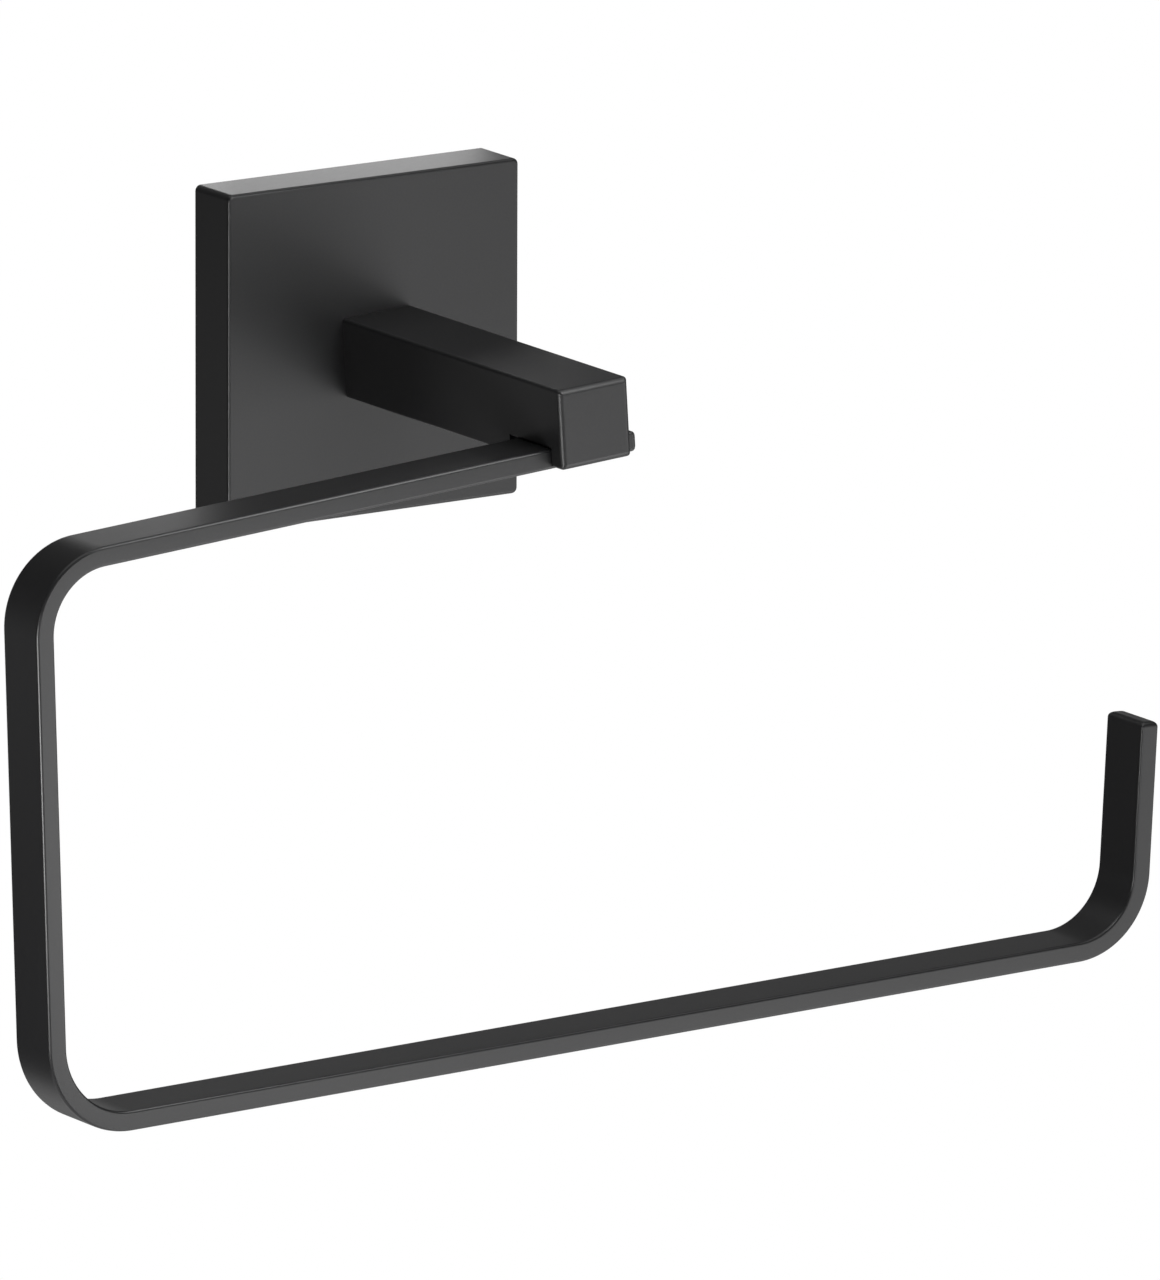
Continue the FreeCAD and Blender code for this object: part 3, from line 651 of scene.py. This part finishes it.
# Lamps: the place, the target and the side in millimetres, and how bright each one looks when
# white paper is 1. A softbox lights the whole object. A card stands closer to it and shows
# mostly in the faces or edges that it is named for.
SOFTBOXES = (
    ("right_front_softbox", (800, -560, -225), (0, -30, -30), 600, 1.65),
    ("high_front_softbox", (540, -835, 90), (0, -30, -30), 600, 0.3),
    ("low_front_softbox", (450, -690, -570), (0, -30, -30), 600, 2.0),
    ("ring_front_card", (127, -240, -140), (10, -60, -90), 150, 0.75),
    ("upright_front_card", (40, -315, -110), (-90, -70, -50), 80, 5.4),
    ("left_front_softbox", (-350, -940, -260), (0, -30, -30), 500, 0.9),
    ("left_edge_card", (-195, -128, -78), (-60, -40, -40), 62, 9.0),
    ("plate_edge_card", (-298, -187, -80), (-25, -8, 0), 100, 8.5),
    ("high_right_softbox", (540, -230, 810), (0, -30, -30), 350, 1.0),
    ("arm_edge_card", (17, -145, 87), (-65, -60, -6), 80, 6.5),
    ("back_softbox", (540, 835, 0), (0, -30, -30), 400, 0.33),
    ("left_card", (-150, 150, -60), (-20, -40, -10), 80, 0.32),
    ("plate_top_card", (35, 56, 40), (0, -5, 25), 45, 2.0),
    ("arm_top_card", (-15, 46, 24), (-85, -60, -6), 40, 0.8),
)


def add_softbox(name, place, target, side, strength):
    """A square lamp that faces its target and isn't seen by the camera."""
    lamp = bpy.data.lights.new(name, "AREA")
    lamp.shape = "SQUARE"
    lamp.size = side * MM
    lamp.energy = strength * math.pi * lamp.size ** 2
    piece = bpy.data.objects.new(name, lamp)
    piece.location = Vector(place) * MM
    facing = Vector(target) * MM - piece.location
    piece.rotation_euler = facing.to_track_quat("-Z", "Y").to_euler()
    piece.visible_camera = False
    bpy.context.scene.collection.objects.link(piece)


def background_rays(tree):
    """One where the camera looks straight, by a mirror or through glass, and else nought."""
    rays = add_node(tree, "ShaderNodeLightPath").outputs
    seen = rays["Is Camera Ray"]
    for other in ("Is Glossy Ray", "Is Transmission Ray"):
        seen = add_node(tree, SUM, {0: seen, 1: rays[other]}, operation="MAXIMUM").outputs[0]
    return seen


def pale_floor(floor_colour):
    """Matte pale floor that looks white to the camera."""
    material, tree = new_material("pale_floor")
    matte = add_node(tree, "ShaderNodeBsdfDiffuse", {"Color": (*floor_colour, 1)})
    white = add_node(tree, "ShaderNodeEmission", {"Color": WHITE, "Strength": 1.0})
    mixed = add_node(tree, "ShaderNodeMixShader", {
        0: background_rays(tree), 1: matte.outputs[0], 2: white.outputs[0]})
    finish_material(tree, mixed)
    return material


def grey_wall(strength):
    """Dim grey cloth round the stage, which keeps the black coat's reflections dark."""
    material, tree = new_material("grey_studio_cloth")
    cloth = add_node(tree, "ShaderNodeEmission", {"Color": WHITE, "Strength": strength})
    finish_material(tree, cloth)
    return material


def add_stage_piece(name, corners, faces, material):
    """A flat or round piece of the stage."""
    mesh = bpy.data.meshes.new(name)
    mesh.from_pydata(corners, [], faces)
    mesh.materials.append(material)
    piece = bpy.data.objects.new(name, mesh)
    bpy.context.scene.collection.objects.link(piece)
    return piece


def add_floor(studio):
    """The floor under the object, far enough down for an object that hangs on a wall."""
    half = studio.floor_size / 2
    corners = [(x, y, -studio.floor_drop)
               for x, y in ((-half, -half), (half, -half), (half, half), (-half, half))]
    add_stage_piece("floor", corners, [(0, 1, 2, 3)], pale_floor(studio.floor_colour))


def add_wall(studio):
    """A round grey wall, open at its top, that only lights and reflections see."""
    corners = []
    faces = []
    for side in range(WALL_SIDES):
        turn = 2 * math.pi * side / WALL_SIDES
        x, y = studio.wall_distance * math.cos(turn), studio.wall_distance * math.sin(turn)
        corners += [(x, y, -studio.floor_drop), (x, y, studio.wall_top)]
        low, following = 2 * side, 2 * ((side + 1) % WALL_SIDES)
        faces.append((low, following, following + 1, low + 1))
    wall = add_stage_piece("grey_studio_wall", corners, faces, grey_wall(studio.wall_light))
    wall.visible_camera = False


def add_world(studio):
    """A white surrounding that lights softly."""
    world = bpy.data.worlds.new("studio")
    bpy.context.scene.world = world
    world.use_nodes = True
    tree = world.node_tree
    tree.nodes.clear()
    soft, white = (
        add_node(tree, "ShaderNodeBackground", {"Color": WHITE, "Strength": strength})
        for strength in (studio.world_light, 1.0))
    mixed = add_node(tree, "ShaderNodeMixShader", {
        0: background_rays(tree), 1: soft.outputs[0], 2: white.outputs[0]})
    add_node(tree, "ShaderNodeOutputWorld", {"Surface": mixed.outputs[0]})


def add_camera():
    """The camera at the photograph's place and angle."""
    yaw, pitch, roll = (math.radians(CAMERA[turn]) for turn in ("yaw", "pitch", "roll"))
    forward = Vector((math.sin(yaw) * math.cos(pitch), math.cos(yaw) * math.cos(pitch),
                      -math.sin(pitch)))
    level = Vector((math.cos(yaw), -math.sin(yaw), 0))
    above = level.cross(forward)
    right = level * math.cos(roll) + above * math.sin(roll)
    up = above * math.cos(roll) - level * math.sin(roll)
    data = bpy.data.cameras.new("camera")
    data.sensor_width = CAMERA["sensor"]
    data.lens = CAMERA["lens"]
    camera = bpy.data.objects.new("camera", data)
    place = (Vector(CAMERA["target"]) - forward * CAMERA["distance"]) * MM
    axes = Matrix((right, up, -forward)).transposed().to_4x4()
    camera.matrix_world = Matrix.Translation(place) @ axes
    bpy.context.scene.collection.objects.link(camera)
    bpy.context.scene.camera = camera


class TOWELRING_OT_stage(bpy.types.Operator):
    """Set up the floor, the lights and the camera"""
    bl_idname = "towelring.stage"
    bl_label = "Stage"

    def execute(self, context):
        studio = settings().studio
        add_floor(studio)
        add_wall(studio)
        add_world(studio)
        for softbox in SOFTBOXES:
            add_softbox(*softbox)
        add_camera()
        context.scene.view_settings.view_transform = "Standard"
        return {"FINISHED"}


class TOWELRING_PT_panel(bpy.types.Panel):
    """The towel ring's pieces, in the 3D view's sidebar"""
    bl_idname = "TOWELRING_PT_panel"
    bl_label = "Towel ring"
    bl_space_type = "VIEW_3D"
    bl_region_type = "UI"
    bl_category = "Towel ring"

    def draw(self, context):
        for operator in OPERATORS:
            self.layout.operator(operator.bl_idname)


OPERATORS = (TOWELRING_OT_plate, TOWELRING_OT_ring, TOWELRING_OT_screws, TOWELRING_OT_fixings,
             TOWELRING_OT_stage)
CLASSES = (RingSizes, ScrewSizes, Finishes, Studio, TowelRing, *OPERATORS, TOWELRING_PT_panel)


def register():
    """Register the classes and give the scene its settings."""
    for item in CLASSES:
        bpy.utils.register_class(item)
    bpy.types.Scene.towel_ring = PointerProperty(type=TowelRing)


def unregister():
    """Take the settings and the classes away again."""
    del bpy.types.Scene.towel_ring
    for item in reversed(CLASSES):
        bpy.utils.unregister_class(item)


def main():
    """Build every piece and the stage."""
    register()
    bpy.ops.towelring.plate()
    bpy.ops.towelring.ring()
    bpy.ops.towelring.screws()
    bpy.ops.towelring.fixings()
    bpy.ops.towelring.stage()


if __name__ == "__main__":
    main()
